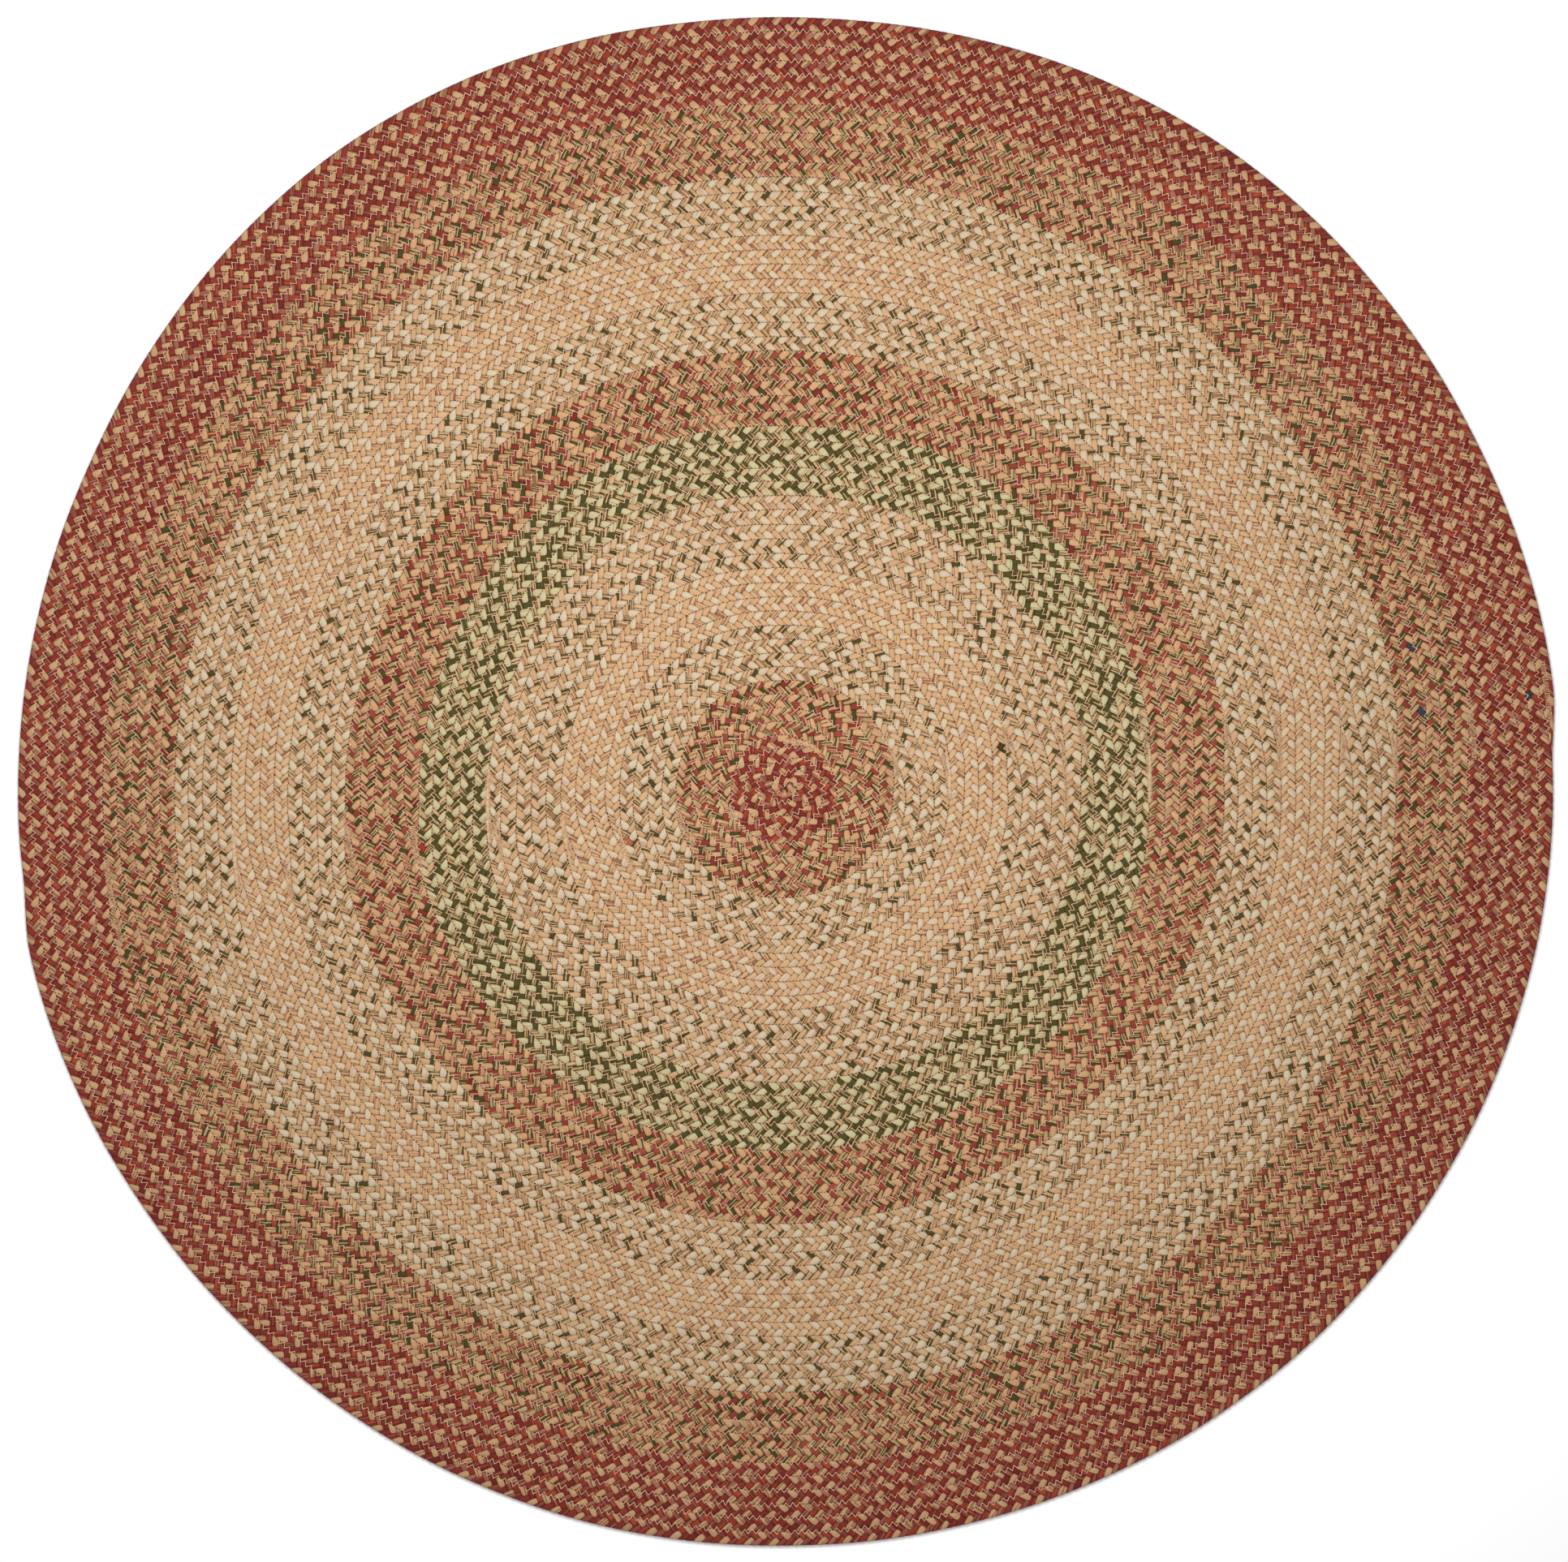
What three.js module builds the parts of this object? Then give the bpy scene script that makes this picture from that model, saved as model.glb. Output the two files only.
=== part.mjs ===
// A round braided rug: thirteen lengths of flat three-strand braid, each of one colourway,
// wound clockwise into a flat spiral and sewn edge to edge. Millimetres, +Z up, standing on z = 0.
import * as THREE from 'three';

// Driving dimensions.
const rugRadius = 914; // mean radius of the rim
const braidCrest = 9; // height of the middle of a braid
const seamHeight = 6; // height where two turns are sewn together
const rimHeight = 4; // height of the widest line of the rim
const rimUndercut = 2.5; // how far the rim draws in where it meets the floor
const pieceGap = 0.3; // between neighbouring lengths of braid
const taperLength = 100; // a braid's end narrows to nothing over this length
const widestTaper = 60; // degrees, the most that a taper near the centre turns through
const fineColumns = 60; // steps round the outer lengths, halved twice towards the centre

// The coil lies a little towards -Y of the rim, most at its centre.
const coilShift = { x: -1.5, y: -10, power: 2.2 };

// The rim and every seam wander by a few slow waves: waves a turn, height, and angle of the crest.
const settleRadius = 300;
const waves = [
  { count: 2, height: 2.8, crest: -16 },
  { count: 3, height: 0.9, crest: -16 },
  { count: 4, height: 1.4, crest: 40 },
  { count: 5, height: 2.0, crest: -21 },
  { count: 6, height: 1.6, crest: 4 },
];

const colourways = {
  red: { color: 0x965c48, roughness: 0.93 },
  mixed: { color: 0xa3785a, roughness: 0.93 },
  beige: { color: 0xb49678, roughness: 0.93 },
  tan: { color: 0xc2a07c, roughness: 0.93 },
  green: { color: 0x998664, roughness: 0.93 },
};

// The lengths of braid from the centre out: outer is the mean radius of the seam that closes one,
// and spliceAngle is where both of its ends are tucked in, in degrees counterclockwise from +X.
const lengths = [
  { name: 'braid_01_red_centre', colourway: 'red', turns: 4, outer: 64, spliceAngle: 70 },
  { name: 'braid_02_mixed_inner', colourway: 'mixed', turns: 4, outer: 131, spliceAngle: 200 },
  { name: 'braid_03_beige_inner', colourway: 'beige', turns: 4, outer: 198, spliceAngle: 8 },
  { name: 'braid_04_tan_inner', colourway: 'tan', turns: 4, outer: 267, spliceAngle: 196 },
  { name: 'braid_05_beige_second', colourway: 'beige', turns: 4, outer: 337, spliceAngle: 10 },
  { name: 'braid_06_beige_single_turn', colourway: 'beige', turns: 1, outer: 354, spliceAngle: 188 },
  { name: 'braid_07_green', colourway: 'green', turns: 5, outer: 436, spliceAngle: 6 },
  { name: 'braid_08_mixed_middle', colourway: 'mixed', turns: 5, outer: 524, spliceAngle: 188 },
  { name: 'braid_09_beige_third', colourway: 'beige', turns: 4, outer: 592, spliceAngle: 6 },
  { name: 'braid_10_tan_outer', colourway: 'tan', turns: 4, outer: 660, spliceAngle: 190 },
  { name: 'braid_11_beige_outer', colourway: 'beige', turns: 4, outer: 728, spliceAngle: 4 },
  { name: 'braid_12_mixed_outer', colourway: 'mixed', turns: 5, outer: 813, spliceAngle: 190 },
  { name: 'braid_13_red_border', colourway: 'red', turns: 6, outer: rugRadius, spliceAngle: 4 },
];
const last = lengths.length - 1;
const columnsOf = (k) => (k < 2 ? fineColumns / 4 : k < 8 ? fineColumns / 2 : fineColumns);

const radians = THREE.MathUtils.degToRad;
const turnPart = (degrees) => THREE.MathUtils.euclideanModulo(degrees, 360) / 360;

// Where the braids start and end, the seam steps out by half a braid at each of two splices,
// each step smoothed over the taper, and drifts back in evenly round the rest of the turn.
function spliceSteps(angle, splices, radius) {
  const half = Math.min(THREE.MathUtils.radToDeg(taperLength / radius), widestTaper) / 2;
  let rise = 0;
  for (const splice of splices) {
    const past = THREE.MathUtils.euclideanModulo(angle - splice + 180, 360) - 180;
    rise += 0.5 * (THREE.MathUtils.smoothstep(past, -half, half) - (past + 180) / 360);
  }
  return rise;
}

// The seam outside length k at an angle: its mean radius, the slow waves and the splice steps.
// k = -1 is the middle point of the coil.
function seamPoint(k, angle) {
  const radius = k < 0 ? 0 : lengths[k].outer;
  const inwards = 1 - (radius / rugRadius) ** coilShift.power;
  const centre = new THREE.Vector2(coilShift.x, coilShift.y).multiplyScalar(inwards);
  if (k < 0) return centre;
  const splices = [lengths[k].spliceAngle, lengths[k === last ? k - 1 : k + 1].spliceAngle];
  const inner = k === 0 ? 0 : lengths[k - 1].outer;
  const braidWidth = (radius - inner) / lengths[k].turns;
  const settled = Math.min(1, radius / settleRadius);
  let reach = radius + braidWidth * spliceSteps(angle, splices, radius);
  for (const { count, height, crest } of waves) {
    reach += settled * height * Math.cos(count * radians(angle - crest));
  }
  const outward = new THREE.Vector2(Math.cos(radians(angle)), Math.sin(radians(angle)));
  return outward.multiplyScalar(reach).add(centre);
}

// A seam's points at count even steps. Where the inner length has fewer steps than the outer one,
// the points between its own lie on its straight edges, so that both walls run side by side.
function seamLine(k, count) {
  const coarse = k < 0 ? count : Math.min(count, columnsOf(k));
  const corners = Array.from({ length: coarse }, (_, i) => seamPoint(k, (i * 360) / coarse));
  return Array.from({ length: count }, (_, i) => {
    const place = (i * coarse) / count;
    const from = Math.floor(place);
    return corners[from].clone().lerp(corners[(from + 1) % coarse], place - from);
  });
}

// The same line moved outwards, or inwards where the distance is negative.
function moved(line, distance) {
  return line.map((point) => {
    const size = point.length();
    return size > pieceGap ? point.clone().multiplyScalar((size + distance) / size) : point.clone();
  });
}

// One length as a closed ribbed ring. Lines 0 to 2 * turns run from its inner to its outer seam,
// even ones in the seams and odd ones along the crests. Between the two columns beside its own
// splice each turn runs on into the next one out, so the first turn opens and the last closes there.
function braidGeometry(k) {
  const { turns, spliceAngle } = lengths[k];
  const columns = columnsOf(k);
  const rim = k === last;
  const inner = moved(seamLine(k - 1, columns), pieceGap / 2);
  const outer = rim ? seamLine(k, columns) : moved(seamLine(k, columns), -pieceGap / 2);
  const lines = 2 * turns;
  const spliceColumn = Math.floor(turnPart(spliceAngle) * columns);
  const positions = [];
  const indices = [];
  const topIndex = (column, line) => (column % columns) * (lines + 1) + line;
  const floorInner = (column) => columns * (lines + 1) + (column % columns);
  const floorOuter = (column) => floorInner(column) + columns;

  for (let column = 0; column < columns; column += 1) {
    for (let line = 0; line <= lines; line += 1) {
      const point = inner[column].clone().lerp(outer[column], line / lines);
      const edge = rim && line === lines ? rimHeight : seamHeight;
      positions.push(point.x, point.y, line % 2 ? braidCrest : edge);
    }
  }
  inner.forEach((point) => positions.push(point.x, point.y, 0));
  (rim ? moved(outer, -rimUndercut) : outer).forEach((point) => positions.push(point.x, point.y, 0));

  const quad = (a, b, c, d) => indices.push(a, b, c, a, c, d);
  for (let column = 0; column < columns; column += 1) {
    const next = column + 1;
    const shift = column === spliceColumn ? 2 : 0;
    for (let line = 0; line < lines - shift; line += 1) {
      quad(
        topIndex(column, line + shift),
        topIndex(column, line + shift + 1),
        topIndex(next, line + 1),
        topIndex(next, line),
      );
    }
    for (let line = 0; line < shift; line += 1) {
      const closing = lines - shift + line;
      indices.push(topIndex(next, 0), topIndex(column, line), topIndex(column, line + 1));
      indices.push(topIndex(column, lines), topIndex(next, closing + 1), topIndex(next, closing));
    }
    quad(floorOuter(column), floorOuter(next), topIndex(next, lines), topIndex(column, lines));
    quad(topIndex(column, 0), topIndex(next, 0), floorInner(next), floorInner(column));
    quad(floorInner(next), floorOuter(next), floorOuter(column), floorInner(column));
  }
  return closedGeometry(positions, indices);
}

// Joins the corners that fall together at the middle of the coil, and drops the empty triangles.
function closedGeometry(positions, indices) {
  const seen = new Map();
  const kept = [];
  const renumbered = [];
  for (let i = 0; i < positions.length; i += 3) {
    const corner = positions.slice(i, i + 3);
    const key = corner.map((value) => value.toFixed(4)).join(' ');
    if (!seen.has(key)) {
      seen.set(key, seen.size);
      kept.push(...corner);
    }
    renumbered.push(seen.get(key));
  }
  const triangles = [];
  for (let i = 0; i < indices.length; i += 3) {
    const [a, b, c] = indices.slice(i, i + 3).map((index) => renumbered[index]);
    if (a !== b && b !== c && c !== a) triangles.push(a, b, c);
  }
  const geometry = new THREE.BufferGeometry();
  geometry.setAttribute('position', new THREE.Float32BufferAttribute(kept, 3));
  geometry.setIndex(triangles);
  geometry.computeVertexNormals();
  return geometry;
}

const group = new THREE.Group();
lengths.forEach(({ name, colourway }, k) => {
  const material = new THREE.MeshStandardMaterial({ ...colourways[colourway], metalness: 0 });
  const braid = new THREE.Mesh(braidGeometry(k), material);
  braid.name = name;
  group.add(braid);
});

// The origin is on the floor under the middle of the rug's outline.
const middle = new THREE.Box3().setFromObject(group).getCenter(new THREE.Vector3());
group.position.set(-middle.x, -middle.y, 0);

export default group;
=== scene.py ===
import math

import bpy
import numpy as np
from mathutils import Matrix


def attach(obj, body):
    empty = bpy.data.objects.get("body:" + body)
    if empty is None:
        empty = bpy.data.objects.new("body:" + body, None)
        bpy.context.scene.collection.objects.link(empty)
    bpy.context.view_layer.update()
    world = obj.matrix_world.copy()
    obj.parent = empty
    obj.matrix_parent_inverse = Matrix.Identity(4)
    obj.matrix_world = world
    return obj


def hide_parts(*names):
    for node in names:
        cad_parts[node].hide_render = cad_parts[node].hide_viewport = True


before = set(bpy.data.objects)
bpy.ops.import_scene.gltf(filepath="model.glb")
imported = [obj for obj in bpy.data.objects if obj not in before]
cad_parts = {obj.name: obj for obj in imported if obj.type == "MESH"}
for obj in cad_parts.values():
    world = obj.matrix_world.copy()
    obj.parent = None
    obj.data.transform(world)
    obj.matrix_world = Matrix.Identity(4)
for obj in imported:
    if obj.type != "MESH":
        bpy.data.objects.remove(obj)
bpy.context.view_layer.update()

# A round rug of three-strand braid: thirteen lengths wound clockwise outwards and sewn edge to edge.
# Metres, +Z up, the floor at z = 0. Where a strand shows between two crossings it is called a leaf,
# and every leaf is modelled.

rng = np.random.default_rng(54)
print("frame loaded:", len(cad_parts), "nodes")


def paint(red, green, blue):
    # a colour as screens name it, made linear: ((c + 0.055) / 1.055)^2.4, or c / 12.92 where it is dark
    shares = np.array([red, green, blue]) / 255
    linear = np.where(shares <= 0.04045, shares / 12.92, ((shares + 0.055) / 1.055) ** 2.4)
    return (*linear.tolist(), 1.0)


# the coil

coil = {
    "rimRadius": 0.914,  # mean radius of the rim
    "shift": (-0.0015, -0.010),  # the coil's middle, from the middle of the rim
    "shiftPower": 2.2,  # it dies away by 1 - (radius / rim radius)^2.2
    "settleRadius": 0.300,  # inside it the waves die away
    "taperLength": 0.100,  # a braid's end narrows to nothing over this length
    "widestTaper": 60,  # degrees
    # waves in a turn, height, and angle of a crest in degrees
    "waves": ((2, 0.0028, -16), (3, 0.0009, -16), (4, 0.0014, 40), (5, 0.0020, -21), (6, 0.0016, 4)),
    "rimSteps": 60,  # steps of the solid's rim, whose box the origin is centred in
    # waves in a turn, radians that they drift by from seam to seam, and share of the width
    "wander": ((7, 2.1, 0.30), (12, -3.4, 0.28), (19, 5.3, 0.22), (31, -1.7, 0.20)),
    "wanderWidth": 0.0007,
    "wanderReach": 0.1,  # within it the wander dies away
    "routeSteps": 720,  # in a turn
}

# name, colourway, turns, mean radius of its outer seam, angle where its ends are tucked in
lengths = (
    ("braid_01_red_centre", "red", 4, 0.064, 70),
    ("braid_02_mixed_inner", "mixed", 4, 0.131, 200),
    ("braid_03_beige_inner", "beige", 4, 0.198, 8),
    ("braid_04_tan_inner", "tan", 4, 0.267, 196),
    ("braid_05_beige_second", "beige", 4, 0.337, 10),
    ("braid_06_beige_single_turn", "beige", 1, 0.354, 188),
    ("braid_07_green", "green", 5, 0.436, 6),
    ("braid_08_mixed_middle", "mixed", 5, 0.524, 188),
    ("braid_09_beige_third", "beige", 4, 0.592, 6),
    ("braid_10_tan_outer", "tan", 4, 0.660, 190),
    ("braid_11_beige_outer", "beige", 4, 0.728, 4),
    ("braid_12_mixed_outer", "mixed", 5, 0.813, 190),
    ("braid_13_red_border", "red", 6, coil["rimRadius"], 4),
)
names, colourways, turnCounts, outerRadii, spliceAngles = zip(*lengths)
lastLength = len(lengths) - 1
seamsBefore = np.concatenate([[0], np.cumsum(turnCounts)])


def smoothstep(x, low, high):
    # 3t^2 - 2t^3, where t is the share of the way from low to high
    t = np.clip((x - low) / (high - low), 0, 1)
    return t * t * (3 - 2 * t)


def taperDegrees(radius):
    # taper length / radius, as an angle, but never over the widest
    return np.minimum(np.degrees(coil["taperLength"] / np.maximum(radius, 1e-6)), coil["widestTaper"])


def halfTaper(radius):
    # half of a taper, in turns: degrees / 2 / 360
    return taperDegrees(radius) / 720


def innerRadius(k):
    # the outer seam of the length inside this one, and 0 for the first
    return outerRadii[k - 1] if k else 0.0


def spliceSteps(angle, splices, radius):
    # half a braid out at each splice, smoothed over the taper, and evenly back round the turn
    half = taperDegrees(radius) / 2
    rise = 0
    for splice in splices:
        past = np.mod(angle - splice + 180, 360) - 180
        rise = rise + 0.5 * (smoothstep(past, -half, half) - (past + 180) / 360)
    return rise


def outwards(angle):
    # the unit vector (cos, sin) of an angle in degrees
    return np.stack([np.cos(np.radians(angle)), np.sin(np.radians(angle))], -1)


def seamPoints(k, angle):
    # centre + (cos, sin) * (radius + braid width * splice steps + sum of waves), k = -1 the middle
    radius = 0.0 if k < 0 else outerRadii[k]
    centre = np.array(coil["shift"]) * (1 - (radius / coil["rimRadius"]) ** coil["shiftPower"])
    if k < 0:
        return np.broadcast_to(centre, angle.shape + (2,))
    neighbour = k - 1 if k == lastLength else k + 1
    braidWidth = (radius - innerRadius(k)) / turnCounts[k]
    reach = radius + braidWidth * spliceSteps(angle, (spliceAngles[k], spliceAngles[neighbour]), radius)
    settled = min(1, radius / coil["settleRadius"])
    for count, height, crest in coil["waves"]:
        reach = reach + settled * height * np.cos(np.radians(count * (angle - crest)))
    return centre + outwards(angle) * reach[..., None]


rimCorners = seamPoints(lastLength, np.arange(coil["rimSteps"]) * 360 / coil["rimSteps"])
middle = (rimCorners.min(0) + rimCorners.max(0)) / 2


def rowSeams(k, w):
    # numbers of the inner and outer seam at w turns along: the stair floor(w) + 1, smoothed at each step
    turns = turnCounts[k]
    radius = innerRadius(k) + (outerRadii[k] - innerRadius(k)) * np.clip(w / turns, 0, 1)
    past = (w - np.round(w)) / halfTaper(radius)
    stair = np.where(np.abs(past) < 1, np.round(w) + smoothstep(past, -1, 1), np.floor(w) + 1)
    return np.clip(stair - 1, 0, turns), np.clip(stair, 0, turns)


def planPoints(k, w, across):
    # across runs from -1 at the inner seam to 1 at the outer. The point divides the way from the
    # length's inner line to its outer one as its seam number divides the turns, and wanders a little,
    # by a sum of sines of the angle and the seam number that is the same for both braids at a seam
    angle = spliceAngles[k] - 360 * w
    inner, outer = rowSeams(k, w)
    number = inner + (outer - inner) * (across + 1) / 2
    low, high = seamPoints(k - 1, angle), seamPoints(k, angle)
    point = low + (high - low) * (number / turnCounts[k])[..., None]
    turned, seam = np.radians(angle), seamsBefore[k] + number
    wander = sum(share * np.sin(count * turned + drift * seam) for count, drift, share in coil["wander"])
    near = np.minimum(1, np.linalg.norm(point, axis=-1) / coil["wanderReach"])
    wander = wander * coil["wanderWidth"] * near
    return point + outwards(angle) * wander[..., None] - middle


def routeAlong(k, across, low, high):
    # turns along a length and the distance run between them, at even fine steps of w
    w = np.linspace(low, high, int(coil["routeSteps"] * (high - low)))
    line = planPoints(k, w, np.full_like(w, across))
    run = np.concatenate([[0], np.cumsum(np.linalg.norm(np.diff(line, axis=0), axis=1))])
    return w, run


def braidEnds(k):
    # w where a length starts and where it ends: half a taper before 0, and after the last turn
    return -halfTaper(innerRadius(k)), turnCounts[k] + halfTaper(outerRadii[k])


# the leaves of the braids

leafForm = {
    "pitch": 0.0097,  # from leaf to leaf along one half of a braid
    "leanSeam": (0.07, 0.06),  # how far a strand first runs along its seam, and how soon it turns in
    "leanSlant": (0.54, 0.20),
    "spare": 1.8,  # how far the last strands lean past the others, in leaves
    "press": 1.03,  # how far across a turn reaches, pressed a little into its neighbours
    "spreadSeam": 0.5,  # how much of the lines' shifts is taken at the seam
    "spread": 0.7,  # and further in
    # places in half widths from the seam
    "shoulder": 0.09,  # where the cracks between leaves stop rising steeply
    "rounding": 0.05,  # how much further in the leaves themselves do
    "crestFar": 0.76,  # the far corner of a leaf's crest, the near one being at 1
    "belly": 0.55,  # where its back is lowest
    "dives": (0.78, 1.22),  # where it goes under its neighbours, at its far side and its near side
    # shares of a leaf's breadth
    "seamCorners": (0.3, 0.7),  # where its edge at the seam has corners
    "flat": (0.21, 0.79),  # the flat part of its top
    # heights
    "seamFloor": 0.0058,
    "seamLeaf": 0.0071,
    "shoulderCrack": 0.0070,
    "shoulderLeaf": 0.0082,
    "crestCrack": 0.0074,
    "crestLeaf": 0.0089,
    "underCrack": 0.0016,
    "fatRise": 0.0020,  # a strand a tenth fatter stands a tenth of this higher
    "roughHeight": 0.00018,
    "roughPlace": 0.055,  # in leaves
}

# rows of the table of corners that leafCorners fills
cornerRows = 22
seamRows = (0, 1, 8, 9)  # at the seams and in the cracks beside them
topCrossings = (16, 17)  # where lines cross on top
lowCrossings = (18, 19)  # and below
firstBack = 20

# how wide each of the three strands lies in a colourway's braid
strandWidths = {
    "red": (1.10, 1.05, 0.85),
    "mixed": (1.14, 0.90, 0.96),
    "beige": (1.30, 0.96, 0.74),
    "tan": (1.14, 0.93, 0.93),
    "green": (1.24, 0.98, 0.78),
}


def lean(t):
    # how many leaves a strand runs on at t half widths from its seam: a(1 - e^(-t/b)) + ct + dt^2
    along, soon = leafForm["leanSeam"]
    slant, curve = leafForm["leanSlant"]
    return along * (1 - np.exp(-t / soon)) + slant * t + curve * t * t


def lineShifts(widths, strands):
    # how far fat and thin strands move the lines between leaves: the running sum of width / mean - 1
    wide = widths[strands[:-1]]
    shift = np.concatenate([[0], np.cumsum(wide / widths.mean() - 1)])
    return shift - shift.mean() + rng.normal(0, leafForm["roughPlace"], len(strands))


def leafCorners(k, count):
    # Places (leaves along, across, height) of a length's corners, in rows of count + 1. For the inner
    # half: 0 seam corner, 1 shoulder crack, 2-3 seam edge, 4-5 shoulder, 6-7 crest, 8-15 the same for
    # the outer half, 16-17 where the halves' lines cross on top, 18-19 below, 20-21 the leaves' backs.
    # A line stands at i + shift + lean(t), with t half widths from its own seam.
    form = leafForm
    i = np.arange(count + 1)
    widths = np.array(strandWidths[colourways[k]])
    strands = np.stack([2 * i % 3, (2 * i + 1) % 3])
    shifts = [lineShifts(widths, strand) for strand in strands]
    places = np.zeros((cornerRows, count + 1, 3))

    def put(row, x, across, height, rough=0.0):
        # fills a row, with heights that are uneven by rough
        places[row, :, 0], places[row, :, 1] = x, across
        places[row, :, 2] = height + rng.normal(0, 1, count + 1) * rough

    for half in (0, 1):
        first, side = 8 * half, 2 * half - 1  # across = side * (1 - t)
        start = i + 0.5 * half
        ahead = np.append(shifts[half][1:], shifts[half][-1])
        rise = form["fatRise"] * (widths[strands[half]] / widths.mean() - 1)

        def between(t, taken, share):
            # places at a share of the way from each line to the next: i + share + shift + lean(t)
            return start + share + taken * (shifts[half] * (1 - share) + ahead * share) + lean(t)

        edge, shoulder = form["shoulder"], form["shoulder"] + form["rounding"]
        near, far = form["flat"]
        nearSeam, farSeam = form["seamCorners"]
        spreadSeam, spread = form["spreadSeam"], form["spread"]
        pressed = side * form["press"]
        put(first, between(0, spreadSeam, 0), pressed, form["seamFloor"])
        put(first + 1, between(edge, spread, 0), side * (1 - edge), form["shoulderCrack"])
        put(first + 2, between(0, spreadSeam, nearSeam), pressed, form["seamLeaf"])
        put(first + 3, between(0, spreadSeam, farSeam), pressed, form["seamLeaf"])
        for row, t, share, height in (
            (4, shoulder, near, form["shoulderLeaf"]),
            (5, shoulder, far, form["shoulderLeaf"]),
            (6, 1.0, near, form["crestLeaf"]),
            (7, form["crestFar"], far, form["crestLeaf"]),
        ):
            put(first + row, between(t, spread, share), side * (1 - t), height + rise, form["roughHeight"])
        put(firstBack + half, start + 0.5 - lean(form["belly"]), side * (1 - form["belly"]), 0.0)

    slope = 2 * (form["leanSlant"][0] + 2 * form["leanSlant"][1])
    left, right = form["spread"] * shifts[0], form["spread"] * shifts[1]
    leftAhead = np.append(left[1:], left[-1])
    past = (0.5 + right - left) / slope  # line i of each half
    put(16, i + left + lean(1 + past), past, form["crestCrack"])
    past = (-0.5 + right - leftAhead) / slope  # inner line i + 1 with outer line i
    put(17, i + 1 + leftAhead + lean(1 + past), past, form["crestCrack"])
    past = 0.5 / slope
    put(18, i + 1 - lean(1 + past), past, form["underCrack"])
    put(19, i - lean(1 - past), -past, form["underCrack"])
    return places, strands


def leafTriangles(count):
    # Corner numbers of every leaf's triangles, their places on the leaf (share across it, half widths
    # along it from the seam), and the half and the number of the leaf that each belongs to.
    # A leaf's top is three rows of four corners and the crossing it dives under; its back is a fan.
    i = np.arange(count)
    start = cornerRows * (count + 1)
    end = start + 1

    def at(row, step=0):
        # corner numbers of a row, step leaves on, with the starting tip before the first
        number = row * (count + 1) + i + step
        return np.where(i + step < 0, start, number)

    shares = (0, *leafForm["flat"], 1)
    nearSeam, farSeam = leafForm["seamCorners"]
    edge = leafForm["shoulder"]
    shoulder = edge + leafForm["rounding"]
    dive, apex = leafForm["dives"]
    steps = ((0, 0, 0, 0), (edge, shoulder, shoulder, edge), (dive, 1.0, dive, dive))
    ringPlaces = ((0, 0), (0, dive), (0, apex), (1, dive), (1, 0), (farSeam, 0), (nearSeam, 0))
    backPlace = (0.5, leafForm["belly"])
    corners, places, halves = [], [], []

    def add(a, b, c, placeA, placeB, placeC, half, flip):
        # one triangle of every leaf
        if flip:
            b, c, placeB, placeC = c, b, placeC, placeB
        corners.append(np.stack([a, b, c], -1))
        places.append(np.broadcast_to(np.array([placeA, placeB, placeC]), (count, 3, 2)))
        halves.append(np.full(count, half))

    for half in (0, 1):
        f = 8 * half
        crest = (at(17, -1), at(f + 6), at(f + 7), at(17)) if half == 0 else (
            at(16), at(f + 6), at(f + 7), at(16, 1))
        seam = (at(f), at(f + 2), at(f + 3), at(f, 1))
        rows = (seam, (at(f + 1), at(f + 4), at(f + 5), at(f + 1, 1)), crest)
        flip = half == 0
        for r in (0, 1):
            for c in range(3):
                quad = [(rows[r][c], (shares[c], steps[r][c])),
                        (rows[r][c + 1], (shares[c + 1], steps[r][c + 1])),
                        (rows[r + 1][c + 1], (shares[c + 1], steps[r + 1][c + 1])),
                        (rows[r + 1][c], (shares[c], steps[r + 1][c]))]
                for p, q, s in ((0, 1, 2), (0, 2, 3)):
                    add(quad[p][0], quad[q][0], quad[s][0], quad[p][1], quad[q][1], quad[s][1], half, flip)
        tip = at(16) if half == 0 else at(17)
        for c in range(3):
            add(crest[c], crest[c + 1], tip, (shares[c], steps[2][c]), (shares[c + 1], steps[2][c + 1]),
                (0, apex), half, flip)
        if half == 0:
            ring = (at(0, 1), at(19, 1), at(18), at(19), at(0), at(2), at(3))
        else:
            ring = (at(8, 1), at(18, 1), at(19, 1), at(18), at(8), at(10), at(11))
        back = at(firstBack + half)
        for c in range(len(ring)):
            d = (c + 1) % len(ring)
            add(back, ring[c], ring[d], backPlace, ringPlaces[c], ringPlaces[d], half, half == 1)

    return np.stack(corners, 1), np.stack(places, 1), np.stack(halves, 1), (start, end)


# leaves of another colour: where they lie and their colour
stains = (
    (0.745, 0.152, paint(58, 62, 74)),
    (0.757, 0.075, paint(58, 62, 74)),
    (0.886, 0.092, paint(52, 56, 68)),
    (0.257, 0.036, paint(64, 56, 32)),
    (0.262, 0.047, paint(64, 56, 32)),
    (-0.187, -0.068, paint(168, 96, 58)),
    (-0.436, -0.072, paint(150, 52, 44)),
)
stainReach = 0.006  # a length has the colour where one of its leaves lies this near

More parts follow.
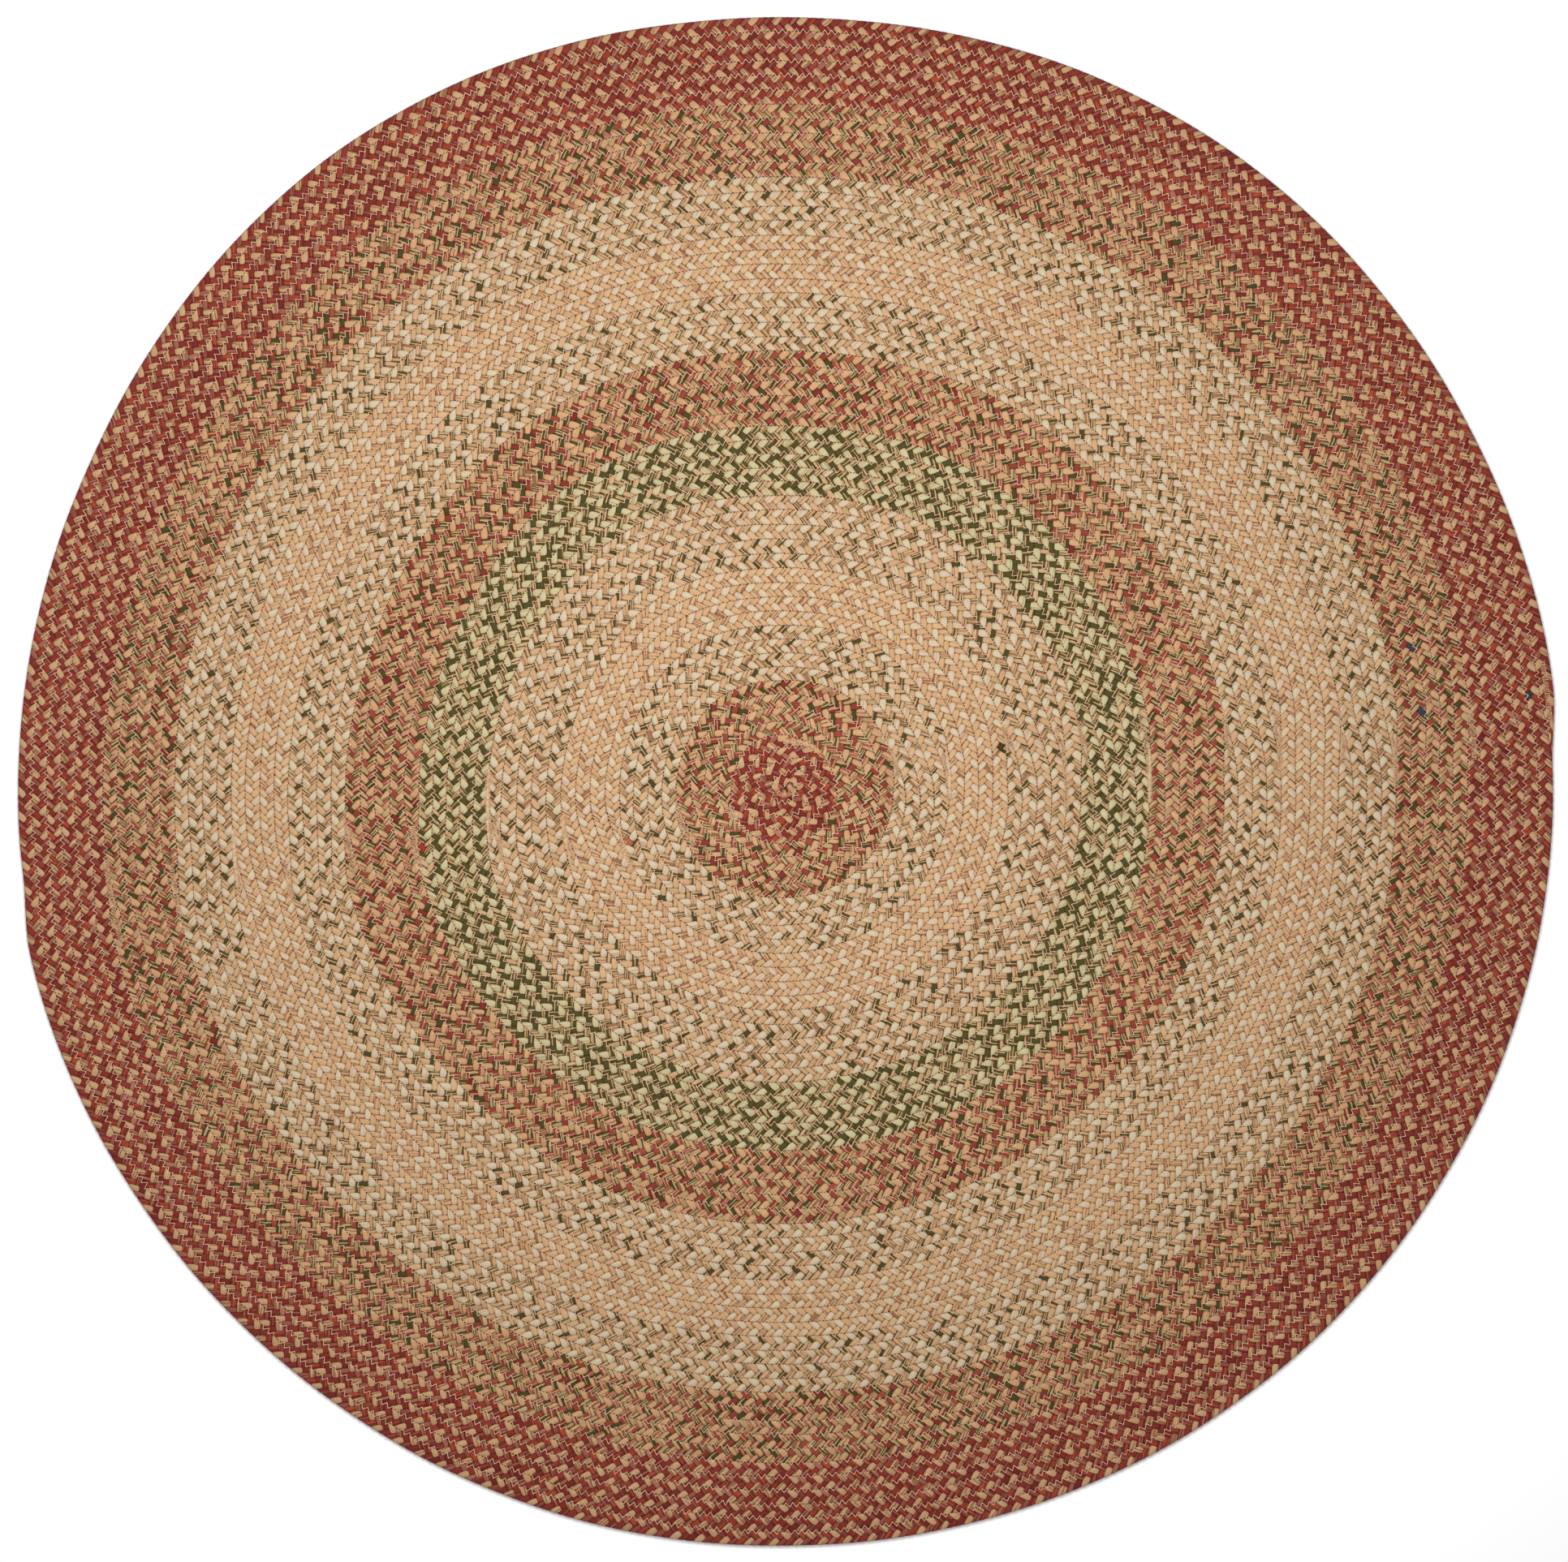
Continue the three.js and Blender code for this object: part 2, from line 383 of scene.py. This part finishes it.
# The ends that lie loose on the coil, and the knot at its middle: number of the length from 0, turns
# along it from and to, place across, width, height of its middle, and which strand of the braid it is
looseEnds = (
    (0, 0.84, 1.34, -1.0, 0.0160, 0.0048, 1),
    (0, -0.075, 0.16, 0.0, 0.0120, 0.0050, 1),
    (0, 0.90, 1.17, -1.0, 0.0090, 0.0072, 0),
    (0, 3.92, 4.13, 0.1, 0.0062, 0.0077, 0),
    (2, 3.985, 4.034, 0.6, 0.0050, 0.0077, 0),
    (3, 3.992, 4.026, 0.6, 0.0060, 0.0077, 1),
    (5, 0.992, 1.033, 0.6, 0.0052, 0.0077, 0),
    (6, 4.997, 5.024, 0.6, 0.0052, 0.0077, 0),
    (9, 3.998, 4.015, 0.6, 0.0056, 0.0077, 0),
)
ropeForm = {
    "thick": 0.0042,
    "bead": 0.0075,  # from bead to bead
    "waist": 0.22,  # how much narrower it is between beads
    "tipPower": 0.3,
    "deepest": 0.5,  # tone of its deepest bead
    "ringsInBead": 4,
    "sides": 8,
}


def wholeFaces(faces):
    # true for each triangle with three different corners
    a, b, c = faces.T
    return (a != b) & (b != c) & (c != a)


def ropeParts(k):
    # The loose ends of a length: elliptical rings along each, fullest at the middle of each bead by
    # 1 - waist + waist |sin|, and drawn to a point at both tips by (4u(1 - u))^tipPower.
    # Gives points, triangles, places and facts.
    points, triangles, places, facts = [], [], [], []
    total = 0
    sides, perBead = ropeForm["sides"], ropeForm["ringsInBead"]
    for _, low, high, across, width, rise, strand in [end for end in looseEnds if end[0] == k]:
        w, run = routeAlong(k, across, low, high)
        beads = max(2, round(run[-1] / ropeForm["bead"]))
        rings = beads * perBead + 1
        share = np.linspace(0, 1, rings)
        turns = np.interp(share * run[-1], run, w)
        plan = planPoints(k, turns, np.full(rings, across))
        full = np.clip(4 * share * (1 - share), 0, 1) ** ropeForm["tipPower"]
        full = full * (1 - ropeForm["waist"] + ropeForm["waist"] * np.abs(np.sin(np.pi * share * beads)))
        circle = 2 * np.pi * np.arange(sides) / sides
        reach = full[:, None] * np.cos(circle) * width / 2
        side = outwards(spliceAngles[k] - 360 * turns)
        flat = plan[:, None] + side[:, None] * reach[..., None]
        height = rise + full[:, None] * np.sin(circle) * ropeForm["thick"] / 2
        points.append(np.concatenate([flat, height[..., None]], -1).reshape(-1, 3))

        number = np.arange(rings * sides).reshape(rings, sides)
        number[0], number[-1] = number[0, 0], number[-1, 0]
        ring, corner = np.meshgrid(np.arange(rings - 1), np.arange(sides), indexing="ij")
        after = (corner + 1) % sides
        a, b = number[ring, corner], number[ring, after]
        c, d = number[ring + 1, after], number[ring + 1, corner]
        faces = np.stack([np.stack([a, b, c], -1), np.stack([a, c, d], -1)], 2).reshape(-1, 3)
        place = np.stack([0.5 + 0.5 * np.cos(circle[corner]), ring % perBead / perBead], -1)
        afterPlace = np.stack([0.5 + 0.5 * np.cos(circle[after]), ring % perBead / perBead], -1)
        onward = np.array([0, 1 / perBead])
        facePlaces = np.stack([
            np.stack([place, afterPlace, afterPlace + onward], -2),
            np.stack([place, afterPlace + onward, place + onward], -2),
        ], 2).reshape(-1, 3, 2)
        whole = wholeFaces(faces)
        seeds = rng.random((2, beads))
        bead = np.repeat(ring // perBead, 2).reshape(-1)
        tone = ropeForm["deepest"] * seeds[0, bead]
        fact = np.stack([np.full(len(bead), strand), tone, seeds[1, bead]], -1)
        triangles.append(faces[whole] + total)
        places.append(facePlaces[whole])
        facts.append(fact[whole])
        total += rings * sides
    return points, triangles, places, facts


def makeMesh(name, points, triangles):
    # a mesh from arrays of points and triangle corners, without the points that no triangle uses
    used, corners = np.unique(triangles, return_inverse=True)
    mesh = bpy.data.meshes.new(name)
    mesh.vertices.add(len(used))
    mesh.vertices.foreach_set("co", points[used].astype(np.float32).ravel())
    mesh.loops.add(corners.size)
    mesh.loops.foreach_set("vertex_index", corners.astype(np.int32).ravel())
    mesh.polygons.add(len(triangles))
    mesh.polygons.foreach_set("loop_start", np.arange(0, corners.size, 3, dtype=np.int32))
    mesh.update(calc_edges=True)
    return mesh, used


def addPiece(mesh, material, slot, *nodes):
    # links a finished mesh as a piece of the part, in place of the nodes named; the slot is not used
    piece = bpy.data.objects.new(mesh.name, mesh)
    bpy.context.scene.collection.objects.link(piece)
    mesh.materials.append(material)
    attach(piece, "root")
    if nodes:
        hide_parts(*nodes)
    return piece


# where the tone of a leaf lies between pale, 0, and deep, 1
yarnTone = {
    "middle": 0.5,
    "spread": 0.22,
    "drift": 0.12,  # height of the slow wave that it drifts by along a braid
    "driftPerLeaf": 0.021,  # radians
}


def braidMesh(k):
    # Leaves are spaced evenly along the braid's middle, from its outer end inwards, so that they
    # point counterclockwise, and both ends close in a point where the braid has no width left.
    # height = seam's + (leaf's - seam's) * sqrt(the braid's width there / its full width)
    low, high = braidEnds(k)
    w, run = routeAlong(k, 0, low, high)
    spare = leafForm["spare"]
    count = round(run[-1] / leafForm["pitch"] - spare)
    places, strands = leafCorners(k, count)
    triangles, leafPlaces, halves, tips = leafTriangles(count)

    seam = leafForm["seamLeaf"]
    flat = np.vstack([places.reshape(-1, 3), [[0, 0, seam], [count + spare, 0, seam]]])
    turns = np.interp(run[-1] * (1 - flat[:, 0] / (count + spare)), run, w)
    plan = planPoints(k, turns, flat[:, 1])
    inner, outer = rowSeams(k, turns)
    share = np.clip(outer - inner, 0, 1) ** 0.5
    points = np.column_stack([plan, seam + (flat[:, 2] - seam) * share])

    number = np.arange(len(points))
    row = count + 1
    inTips = (*seamRows, topCrossings[0], *lowCrossings)
    number[[r * row for r in inTips]] = tips[0]
    number[[r * row + count for r in inTips] + [topCrossings[1] * row + count - 1]] = tips[1]
    joined = number[triangles].reshape(-1, 3)
    whole = wholeFaces(joined)
    drift = yarnTone["drift"] * np.sin(np.arange(row) * yarnTone["driftPerLeaf"] + k)
    tone = np.clip(rng.normal(yarnTone["middle"], yarnTone["spread"], (2, row)) + drift, 0, 1)
    seed = rng.random((2, row))
    leaf = np.repeat(np.arange(count), halves.shape[1]).reshape(count, -1)
    facts = np.stack([strands[halves, leaf], tone[halves, leaf], seed[halves, leaf]], -1).reshape(-1, 3)
    centres = points[(firstBack + halves) * row + leaf, :2].reshape(-1, 2)
    stained = np.zeros((len(facts), 4))
    for x, y, colour in stains:
        distance = np.hypot(centres[:, 0] - x, centres[:, 1] - y)
        if distance.min() < stainReach:
            stained[distance < distance.min() + 1e-6] = colour

    ropePoints, ropeTriangles, ropePlaces, ropeFacts = ropeParts(k)
    joined = np.concatenate([joined[whole]] + [part + len(points) for part in ropeTriangles])
    points = np.concatenate([points] + ropePoints)
    uv = np.concatenate([leafPlaces.reshape(-1, 3, 2)[whole]] + ropePlaces)
    facts = np.concatenate([facts[whole]] + ropeFacts)
    stained = np.concatenate([stained[whole], np.zeros((len(facts) - whole.sum(), 4))])
    mesh, used = makeMesh(names[k], points, joined)

    crack = np.isin(used // row, seamRows + topCrossings + lowCrossings)  # sharp where both ends are
    edges = np.empty(len(mesh.edges) * 2, np.int32)
    mesh.edges.foreach_get("vertices", edges)
    sharp = crack[edges.reshape(-1, 2)].all(1)
    mesh.attributes.new("sharp_edge", "BOOLEAN", "EDGE").data.foreach_set("value", sharp)

    mesh.uv_layers.new(name="leafPlace").uv.foreach_set("vector", uv.astype(np.float32).ravel())
    for name, kind, value, values in (("leafFacts", "FLOAT_VECTOR", "vector", facts),
                                      ("leafStain", "FLOAT_COLOR", "color", stained)):
        held = mesh.attributes.new(name, kind, "FACE").data
        held.foreach_set(value, values.astype(np.float32).ravel())
    return mesh, count


# shader maths

class Signal:
    # One socket of a material. + - * / % ** > and abs on it add Math nodes, and node() adds any other
    def __init__(self, tree, socket=None):
        self.tree, self.socket = tree, socket

    def node(self, kind, settings=None, sockets=None, output=0):
        # a node of this kind, its settings first and then its sockets, each linked or given a value
        added = self.tree.nodes.new("ShaderNode" + kind)
        for name, value in (settings or {}).items():
            setattr(added, name, value)
        for place, value in (sockets or {}).items():
            if isinstance(value, Signal):
                self.tree.links.new(value.socket, added.inputs[place])
            else:
                added.inputs[place].default_value = value
        return Signal(self.tree, added.outputs[output])

    def maths(self, operation, *values):
        # a Math node that takes these values
        return self.node("Math", {"operation": operation}, dict(enumerate(values)))

    def __add__(self, other):
        return self.maths("ADD", self, other)

    def __sub__(self, other):
        return self.maths("SUBTRACT", self, other)

    def __rsub__(self, other):
        return self.maths("SUBTRACT", other, self)

    def __mul__(self, other):
        return self.maths("MULTIPLY", self, other)

    def __truediv__(self, other):
        return self.maths("DIVIDE", self, other)

    def __mod__(self, other):
        return self.maths("FLOORED_MODULO", self, other)

    def __pow__(self, other):
        return self.maths("POWER", self, other)

    def __abs__(self):
        return self.maths("ABSOLUTE", self)

    def __gt__(self, other):
        return self.maths("GREATER_THAN", self, other)

    __radd__, __rmul__ = __add__, __mul__

    def ramp(self, low, high, start=0.0, end=1.0):
        # a smooth step from start at low to end at high
        sockets = {"Value": self, "From Min": low, "From Max": high, "To Min": start, "To Max": end}
        return self.node("MapRange", {"interpolation_type": "SMOOTHSTEP"}, sockets)

    def mix(self, colourA, colourB):
        # colour A where this is 0 and colour B where it is 1
        return self.node("Mix", {"data_type": "RGBA"}, {0: self, 6: colourA, 7: colourB}, 2)

    def parts(self):
        # its x, y and z
        return [self.node("SeparateXYZ", None, {0: self}, axis) for axis in range(3)]

    def at(self, x, y, z):
        # a place from signals or numbers
        return self.node("CombineXYZ", None, {0: x, 1: y, 2: z})

    def noise(self, place, scale, detail):
        # a smooth noise from 0 to 1
        return self.node("TexNoise", None, {"Vector": place, "Scale": scale, "Detail": detail})


def newMaterial(name):
    # a material with one Principled shader, and a signal that starts its nodes
    material = bpy.data.materials.new(name)
    material.use_nodes = True
    tree = material.node_tree
    tree.nodes.clear()
    shader = tree.nodes.new("ShaderNodeBsdfPrincipled")
    output = tree.nodes.new("ShaderNodeOutputMaterial")
    tree.links.new(shader.outputs[0], output.inputs[0])
    return material, Signal(tree), shader


# For each strand of a colourway: its yarn from pale to deep, the yarn of its streaks, and the share of
# its plies that are streaks
strandYarns = {
    "red": (
        (paint(202, 162, 120), paint(188, 146, 106), paint(150, 104, 74), 0.20),
        (paint(146, 56, 44), paint(112, 38, 32), paint(166, 72, 50), 0.20),
        (paint(176, 118, 98), paint(134, 62, 50), paint(120, 44, 36), 0.42),
    ),
    "mixed": (
        (paint(206, 164, 120), paint(192, 148, 106), paint(142, 98, 66), 0.20),
        (paint(194, 163, 120), paint(166, 134, 92), paint(74, 66, 32), 0.48),
        (paint(158, 78, 60), paint(120, 42, 34), paint(190, 140, 108), 0.30),
    ),
    "beige": (
        (paint(206, 193, 162), paint(205, 183, 156), paint(196, 166, 134), 0.12),
        (paint(208, 170, 128), paint(196, 156, 114), paint(152, 110, 76), 0.20),
        (paint(200, 164, 121), paint(182, 146, 104), paint(76, 68, 34), 0.44),
    ),
    "tan": (
        (paint(209, 193, 161), paint(207, 184, 158), paint(198, 168, 136), 0.12),
        (paint(209, 172, 129), paint(200, 160, 116), paint(180, 136, 97), 0.14),
        (paint(209, 170, 127), paint(198, 156, 114), paint(152, 106, 75), 0.20),
    ),
    "green": (
        (paint(200, 190, 148), paint(192, 180, 138), paint(178, 162, 122), 0.10),
        (paint(202, 164, 122), paint(172, 140, 98), paint(78, 72, 34), 0.74),
        (paint(206, 166, 127), paint(188, 150, 108), paint(80, 72, 34), 0.52),
    ),
}


yarnLook = {
    "plies": 5.2,  # across a leaf
    "plyBend": 2.4,  # how far they bend, in plies
    "plyGapShade": 0.76,  # brightness of the painted shade in the gaps between plies
    "streakSpread": 0.5,  # how much the share of streaks varies from leaf to leaf
    "edge": (0.60, 1.25),  # of |u|^4 + |v|^4, from where painted shade in the cracks round a leaf starts to where it is darkest
    "faceTint": (0.77, 0.76, 0.75, 1),
    # the warm brown of the painted shade in the cracks between leaves
    "paintedCrackShade": (0.27, 0.19, 0.13, 1),
    "fuzz": (0.93, 1.05),  # brightness from the darkest fibres to the palest
    "roughness": 0.9,
    "gloss": 0.12,
    "sheen": 0.04,
    "bumpEdge": (0.5, 1.2),  # of |u|^4 + |v|^4, from the full height of a leaf to its foot
    "bumpPly": 0.4,
    "bumpFuzz": 0.2,
    "bumpStrength": 0.5,
    "bumpHeight": 0.0006,
}


def braidMaterial(colourway):
    # Colour: the leaf's yarn from pale to deep by its tone, and some of the plies along it, picked by
    # chance, in the yarn of its streaks. Painted shade darkens each ply towards the gaps at its edges, and
    # the leaf towards the cracks at its outline, a rounded box |u|^4 + |v|^4 = 1 from the seam to the
    # slanted line where it dives.
    material, nodes, shader = newMaterial(colourway + "_braid_yarn")
    across, along, _ = nodes.node("UVMap", {"uv_map": "leafPlace"}).parts()
    facts = nodes.node("Attribute", {"attribute_name": "leafFacts"}, output="Vector")
    strand, tone, seed = facts.parts()
    second, third = strand > 0.5, strand > 1.5
    yarns, look = strandYarns[colourway], yarnLook

    def pick(values):
        # the value of the strand that a leaf belongs to
        return third.mix(second.mix(values[0], values[1]), values[2])

    share = yarns[0][3] + second * (yarns[1][3] - yarns[0][3]) + third * (yarns[2][3] - yarns[1][3])
    # a large multiple of its seed takes each leaf to a part of its own in every noise
    bend = nodes.noise(nodes.at(seed * 61, along * 1.1, across * 0.8), 1.0, 1.0)
    ply = across * look["plies"] + bend * look["plyBend"] + seed * 7
    inPly = ply % 1
    chance = nodes.node("TexWhiteNoise", None, {"Vector": nodes.at(ply - inPly, seed * 71, strand)})
    stain = nodes.node("Attribute", {"attribute_name": "leafStain"})
    stained = nodes.node("Attribute", {"attribute_name": "leafStain"}, output="Alpha")
    spread = look["streakSpread"]
    streak = (share + seed * 13 % 1 * spread - spread / 2) > chance
    yarn = tone.mix(pick([yarn[0] for yarn in yarns]), pick([yarn[1] for yarn in yarns]))
    colour = stained.mix(streak.mix(yarn, pick([yarn[2] for yarn in yarns])), stain)

    swell = inPly * (1 - inPly) * 4
    fuzz = nodes.noise(nodes.at(across * 24 + seed * 31, along * 16, seed * 29), 1.0, 2.0)
    far, near = leafForm["dives"]
    end = near - (near - far) * across
    outline = abs(across * 2 - 1) ** 4 + abs(along * 2 / end - 1) ** 4
    # painted shade: a leaf darkens to warm brown towards its outline, where the cracks between leaves lie
    # in shade
    shade = outline.ramp(*look["edge"]).mix(look["faceTint"], look["paintedCrackShade"])
    colour = nodes.node("VectorMath", {"operation": "MULTIPLY"}, {0: colour, 1: shade})
    # painted shade in the gaps between plies, times the real brightness of the fibre fuzz
    plyShadeAndFuzz = swell.ramp(0.0, 0.5, look["plyGapShade"], 1.0) * fuzz.ramp(0.3, 0.7, *look["fuzz"])
    colour = nodes.node("VectorMath", {"operation": "SCALE"}, {0: colour, "Scale": plyShadeAndFuzz})

    nodes.tree.links.new(colour.socket, shader.inputs["Base Color"])
    shader.inputs["Roughness"].default_value = look["roughness"]
    shader.inputs["Specular IOR Level"].default_value = look["gloss"]
    shader.inputs["Sheen Weight"].default_value = look["sheen"]
    relief = outline.ramp(*look["bumpEdge"], 1.0, 0.0) + swell * look["bumpPly"] + fuzz * look["bumpFuzz"]
    strength, height = look["bumpStrength"], look["bumpHeight"]
    bump = nodes.node("Bump", None, {"Height": relief, "Strength": strength, "Distance": height})
    nodes.tree.links.new(bump.socket, shader.inputs["Normal"])
    return material


braidMaterials = {colourway: braidMaterial(colourway) for colourway in strandYarns}
print("yarn materials:", len(braidMaterials))

leafTotal = 0
for k, name in enumerate(names):
    mesh, count = braidMesh(k)
    piece = addPiece(mesh, braidMaterials[colourways[k]], colourways[k] + "_braid", name)
    piece.name = "woven_" + name
    width = outerRadii[k] - innerRadius(k)
    girth = math.pi * (outerRadii[k] + innerRadius(k))
    leafTotal += 2 * count
print("braids:", len(names), "with", leafTotal, "leaves")


# the sewing thread

stitching = {
    "step": 0.0042,  # along the seam from one side to the other
    "reach": 0.0027,  # to each side of the seam
    "width": 0.0008,
    "height": 0.0086,  # of its lower side
    "thick": 0.0004,
    "rough": 0.0003,
    "sides": (1, -1),  # of the seam that its corners stand on, in turn
    "sharpest": 0.5,  # cosine of half the sharpest bend that is mitred in full
    "rimStop": 0.002,  # how far into the border's last turn, along its rim, it still goes, in turns
}
# the close stitches over the ends go straight across, so two corners in a row stand on each side
tacking = {
    **stitching,
    "step": 0.0007,
    "reach": 0.0026,
    "width": 0.0006,
    "height": 0.0094,
    "rough": 0.0004,
    "sides": (1, 1, -1, -1),
}
middleTacking = {**tacking, "reach": 0.0018}
knotTacking = (1.02, 1.16)  # turns along the first length, over the knot at the middle

# Where the ends are sewn down closely: turns along each length at its start, and past its last turn
tackedEnds = (
    ((0.05, 0.75), (-0.06, 0.07)),
    ((-0.042, 0.005), (-0.036, 0.028)),
    ((-0.028, 0.006), (-0.014, 0.033)),
    ((-0.031, -0.003), (-0.006, 0.025)),
    ((-0.017, 0.003), (-0.008, 0.042)),
    ((-0.022, 0.006), (-0.006, 0.031)),
    ((-0.017, 0.004), (-0.017, 0.022)),
    ((-0.011, 0.006), (-0.011, 0.008)),
    ((-0.010, 0.006), (-0.006, 0.014)),
    ((-0.008, 0.003), (-0.002, 0.014)),
    ((-0.003, 0.006), (-0.002, 0.011)),
    ((-0.006, 0.007), (-0.010, 0.009)),
    ((-0.006, 0.006), (-0.014, -0.001)),
)


def thread(k, across, low, high, form):
    # One run of stitches: corner j stands at j steps along the line, or j rounded up to even where the
    # stitches go straight across, and one reach to its side of it. The thread's triangular ring there has
    # two low points, half a width / cos(half the bend) to either side along the bisector, and a high one.
    w, run = routeAlong(k, across, low, high)
    count = max(4, int(run[-1] / form["step"]))
    j = np.arange(count)
    sides = np.array(form["sides"])
    steps = j if len(sides) == 2 else (j + 1) // 2 * 2
    rough = rng.normal(0, form["rough"], (3, count))
    turns = np.interp((steps + 0.5) * form["step"] + rough[0], run, w)
    line = planPoints(k, turns, np.full(count, across))
    reach = sides[j % len(sides)] * form["reach"] + rough[1]
    centre = line + outwards(spliceAngles[k] - 360 * turns) * reach[:, None]
    along = np.diff(centre, axis=0)
    along = along / np.linalg.norm(along, axis=1, keepdims=True)
    left = np.column_stack([-along[:, 1], along[:, 0]])
    before, after = np.vstack([left[:1], left]), np.vstack([left, left[-1:]])
    bisector = (before + after) / np.maximum(np.linalg.norm(before + after, axis=1, keepdims=True), 0.1)
    bend = np.maximum((bisector * after).sum(1), form["sharpest"])
    half = bisector * (form["width"] / 2 / bend)[:, None]
    floor = form["height"] + np.abs(rough[2]) / 2
    points = np.concatenate([
        np.column_stack([centre - half, floor]),
        np.column_stack([centre + half, floor]),
        np.column_stack([centre, floor + form["thick"]]),
    ])
    here = np.arange(count - 1)
    triangles = []
    for a, b in ((0, 1), (1, 2), (2, 0)):
        first, second = a * count + here, b * count + here
        triangles.append(np.stack([first, second, second + 1], -1))
        triangles.append(np.stack([first, second + 1, first + 1], -1))
    ends = np.array([[0, 2 * count, count], [count - 1, 2 * count - 1, 3 * count - 1]])
    return points, np.concatenate(triangles + [ends])


def stitchMesh(k):
    # the zigzag over the outer seam of every turn, and closer stitches over the ends of the braid
    low, high = braidEnds(k)
    turns = turnCounts[k]
    if k == lastLength:
        high = turns - 1 + stitching["rimStop"]  # the rim itself is not sewn to anything
    (startLow, startHigh), (endLow, endHigh) = tackedEnds[k]
    runs = [
        thread(k, 1, low, high, stitching),
        thread(k, 0, startLow, startHigh, middleTacking if k == 0 else tacking),
        thread(k, 0, turns + endLow, turns + endHigh, tacking),
    ]
    if k == 0:
        runs.append(thread(k, -1, *knotTacking, tacking))
    offsets = np.cumsum([0] + [len(points) for points, _ in runs[:-1]])
    points = np.concatenate([points for points, _ in runs])
    triangles = np.concatenate([part + offset for (_, part), offset in zip(runs, offsets)])
    mesh, _ = makeMesh("seam_thread_" + names[k].removeprefix("braid_"), points, triangles)
    flat = mesh.attributes.new("sharp_face", "BOOLEAN", "FACE")
    flat.data.foreach_set("value", np.ones(len(mesh.polygons), bool))
    return mesh


threadLook = {
    "pale": paint(210, 178, 140),
    "deep": paint(194, 152, 116),
    "patches": 90,  # in a metre
    "roughness": 0.75,
}


def threadMaterial():
    # pale peach sewing thread, a little uneven: a mix of pale and deep by a noise
    material, nodes, shader = newMaterial("seam_thread")
    place = nodes.node("TexCoord", output="Object")
    patches = nodes.noise(place, threadLook["patches"], 1)
    tint = patches.ramp(0.3, 0.7).mix(threadLook["pale"], threadLook["deep"])
    nodes.tree.links.new(tint.socket, shader.inputs["Base Color"])
    shader.inputs["Roughness"].default_value = threadLook["roughness"]
    return material


peachThread = threadMaterial()
for k in range(len(names)):
    addPiece(stitchMesh(k), peachThread, "seam_thread")
print("seam threads:", len(names))


# the floor, the light and the camera

studio = {
    "floorColour": paint(250, 250, 250),
    "floorSize": 40.0,
    "floorDrop": 0.0005,  # under the rug
    "floorRoughness": 0.8,
    "skyStrength": 0.60,
    "lampPlace": (-0.10, 0.34, 1.9),
    "lampSize": 1.3,
    "lampPower": 43,
    "cameraPlace": (-0.0024, 0.0005),
    "viewWidth": 1.868,  # metres across the view at the rug
    "lens": 85,
}


def addFloor():
    # a plain square under the rug
    half = studio["floorSize"] / 2
    corners = [(-half, -half, 0), (half, -half, 0), (half, half, 0), (-half, half, 0)]
    mesh = bpy.data.meshes.new("floor")
    mesh.from_pydata(corners, [], [(0, 1, 2, 3)])
    floor = bpy.data.objects.new("floor", mesh)
    floor.location.z = -studio["floorDrop"]
    bpy.context.scene.collection.objects.link(floor)
    material, _, shader = newMaterial("pale_floor")
    shader.inputs["Base Color"].default_value = studio["floorColour"]
    shader.inputs["Roughness"].default_value = studio["floorRoughness"]
    mesh.materials.append(material)


def addLight():
    # an even sky and one wide lamp over the rug
    world = bpy.data.worlds.new("soft studio")
    bpy.context.scene.world = world
    world.use_nodes = True
    sky = world.node_tree.nodes["Background"]
    sky.inputs["Color"].default_value = (1, 1, 1, 1)
    sky.inputs["Strength"].default_value = studio["skyStrength"]
    lamp = bpy.data.lights.new("soft lamp", "AREA")
    lamp.shape = "DISK"
    lamp.size = studio["lampSize"]
    lamp.energy = studio["lampPower"]
    held = bpy.data.objects.new("soft lamp", lamp)
    held.location = studio["lampPlace"]
    held.visible_camera = False
    bpy.context.scene.collection.objects.link(held)


def addCamera():
    # straight above the rug, at a distance of view width * lens / sensor
    camera = bpy.data.cameras.new("camera")
    camera.lens = studio["lens"]
    distance = studio["viewWidth"] * camera.lens / camera.sensor_width
    held = bpy.data.objects.new("camera", camera)
    held.location = (*studio["cameraPlace"], distance)
    bpy.context.scene.collection.objects.link(held)
    bpy.context.scene.camera = held


addFloor()
addLight()
addCamera()
bpy.context.scene.view_settings.view_transform = "Standard"
print("studio ready")
